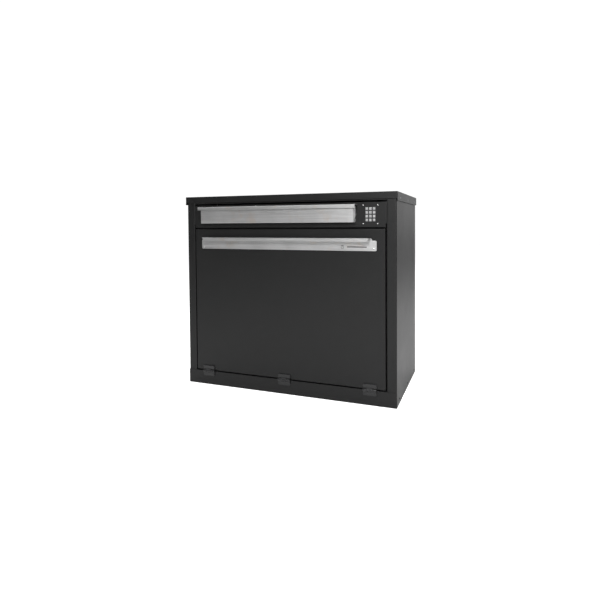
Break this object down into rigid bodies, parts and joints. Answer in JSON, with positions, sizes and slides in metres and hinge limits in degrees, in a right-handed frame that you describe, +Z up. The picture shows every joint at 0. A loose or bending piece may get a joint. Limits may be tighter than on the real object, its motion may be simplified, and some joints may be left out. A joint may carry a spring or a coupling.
{
  "type": "parcel locker",
  "caption": "Steel parcel locker with a bottom-hinged parcel door on quadrant stays, a sprung hopper mail flap, a keypad and a bolt lock.",
  "frame": {"origin": "centre of the base, on the floor", "axes": "+X towards the keypad side, -Y out of the front, +Z up"},
  "size_m": [1.0124, 0.5082, 0.876],
  "materials": {
    "black_coat": "fine satin powder coat",
    "satin_black": "semi-gloss black coat",
    "stainless": "brushed along its length",
    "zinc_plate": "dull zinc plate",
    "black_plastic": "fine texture",
    "black_rubber": "matt",
    "circuit_board": "solder mask",
    "key_steel": "bright satin"
  },
  "bodies": {
    "cabinet": {"left_side_panel": "black_coat", "right_side_panel": "black_coat", "back_panel": "black_coat", "back_rivets": "black_coat", "floor_tray": "black_coat", "base_screws": "black_coat", "plinth": "black_coat", "door_sill": "black_coat", "sill_land": "black_coat", "header_rail": "black_coat", "mullion": "black_coat", "top_cap": "black_coat", "cap_rivets": "zinc_plate", "fascia_panel": "black_coat", "mail_chute": "black_coat", "flap_rod": "stainless", "flap_brackets": "satin_black", "flap_springs": "stainless", "keypad_bezel": "zinc_plate", "keypad_housing": "black_plastic", "keypad_screws": "stainless", "keypad_board": "circuit_board", "key_switches": "zinc_plate", "lock_case": "satin_black", "lock_cover": "satin_black", "control_box": "black_plastic", "control_box_cover": "black_plastic", "battery_cells": "zinc_plate", "control_leads": "black_rubber", "hinge_base_leaves": "satin_black", "hinge_pins": "stainless", "base_hinge_nuts": "zinc_plate", "stay_studs": "stainless"},
    "door": {"door_skin": "black_coat", "door_inner_pan": "black_coat", "door_seal": "black_rubber", "door_handle": "stainless", "handle_rivets": "stainless", "hinge_door_leaves": "satin_black", "door_hinge_nuts": "zinc_plate", "stay_left": "satin_black", "stay_right": "satin_black", "striker": "satin_black", "door_screws": "zinc_plate"},
    "flap": {"flap_face": "stainless", "flap_lip": "stainless", "flap_lip_front": "stainless", "flap_lip_screws": "stainless", "flap_cheeks": "stainless"},
    "bolt": {"lock_bolt": "stainless"},
    "key_1_body": {"key_1": "key_steel"},
    "key_2_body": {"key_2": "key_steel"},
    "key_3_body": {"key_3": "key_steel"},
    "key_4_body": {"key_4": "key_steel"},
    "key_5_body": {"key_5": "key_steel"},
    "key_6_body": {"key_6": "key_steel"},
    "key_7_body": {"key_7": "key_steel"},
    "key_8_body": {"key_8": "key_steel"},
    "key_9_body": {"key_9": "key_steel"},
    "key_star_body": {"key_star": "key_steel"},
    "key_0_body": {"key_0": "key_steel"},
    "key_hash_body": {"key_hash": "key_steel"}
  },
  "joints": [
    {"name": "door_hinge", "type": "hinge", "parent": "cabinet", "child": "door", "pos_m": [0, -0.24, 0.06525], "axis": [1, 0, 0], "range_deg": [0, 90]},
    {"name": "flap_hinge", "type": "hinge", "parent": "cabinet", "child": "flap", "pos_m": [0, -0.243, 0.762], "axis": [1, 0, 0], "range_deg": [0, 35], "stiffness_Nm_per_rad": 0.6, "springref_deg": -60.16},
    {"name": "bolt_slide", "type": "slide", "parent": "cabinet", "child": "bolt", "axis": [0, 0, -1], "range_m": [0, 0.0145], "stiffness_N_per_m": 300, "springref_m": -0.003},
    {"name": "key_1_press", "type": "slide", "parent": "cabinet", "child": "key_1_body", "axis": [0, 1, 0], "range_m": [0, 0.0012], "stiffness_N_per_m": 400, "springref_m": -0.0005},
    {"name": "key_2_press", "type": "slide", "parent": "cabinet", "child": "key_2_body", "axis": [0, 1, 0], "range_m": [0, 0.0012], "stiffness_N_per_m": 400, "springref_m": -0.0005},
    {"name": "key_3_press", "type": "slide", "parent": "cabinet", "child": "key_3_body", "axis": [0, 1, 0], "range_m": [0, 0.0012], "stiffness_N_per_m": 400, "springref_m": -0.0005},
    {"name": "key_4_press", "type": "slide", "parent": "cabinet", "child": "key_4_body", "axis": [0, 1, 0], "range_m": [0, 0.0012], "stiffness_N_per_m": 400, "springref_m": -0.0005},
    {"name": "key_5_press", "type": "slide", "parent": "cabinet", "child": "key_5_body", "axis": [0, 1, 0], "range_m": [0, 0.0012], "stiffness_N_per_m": 400, "springref_m": -0.0005},
    {"name": "key_6_press", "type": "slide", "parent": "cabinet", "child": "key_6_body", "axis": [0, 1, 0], "range_m": [0, 0.0012], "stiffness_N_per_m": 400, "springref_m": -0.0005},
    {"name": "key_7_press", "type": "slide", "parent": "cabinet", "child": "key_7_body", "axis": [0, 1, 0], "range_m": [0, 0.0012], "stiffness_N_per_m": 400, "springref_m": -0.0005},
    {"name": "key_8_press", "type": "slide", "parent": "cabinet", "child": "key_8_body", "axis": [0, 1, 0], "range_m": [0, 0.0012], "stiffness_N_per_m": 400, "springref_m": -0.0005},
    {"name": "key_9_press", "type": "slide", "parent": "cabinet", "child": "key_9_body", "axis": [0, 1, 0], "range_m": [0, 0.0012], "stiffness_N_per_m": 400, "springref_m": -0.0005},
    {"name": "key_star_press", "type": "slide", "parent": "cabinet", "child": "key_star_body", "axis": [0, 1, 0], "range_m": [0, 0.0012], "stiffness_N_per_m": 400, "springref_m": -0.0005},
    {"name": "key_0_press", "type": "slide", "parent": "cabinet", "child": "key_0_body", "axis": [0, 1, 0], "range_m": [0, 0.0012], "stiffness_N_per_m": 400, "springref_m": -0.0005},
    {"name": "key_hash_press", "type": "slide", "parent": "cabinet", "child": "key_hash_body", "axis": [0, 1, 0], "range_m": [0, 0.0012], "stiffness_N_per_m": 400, "springref_m": -0.0005}
  ]
}
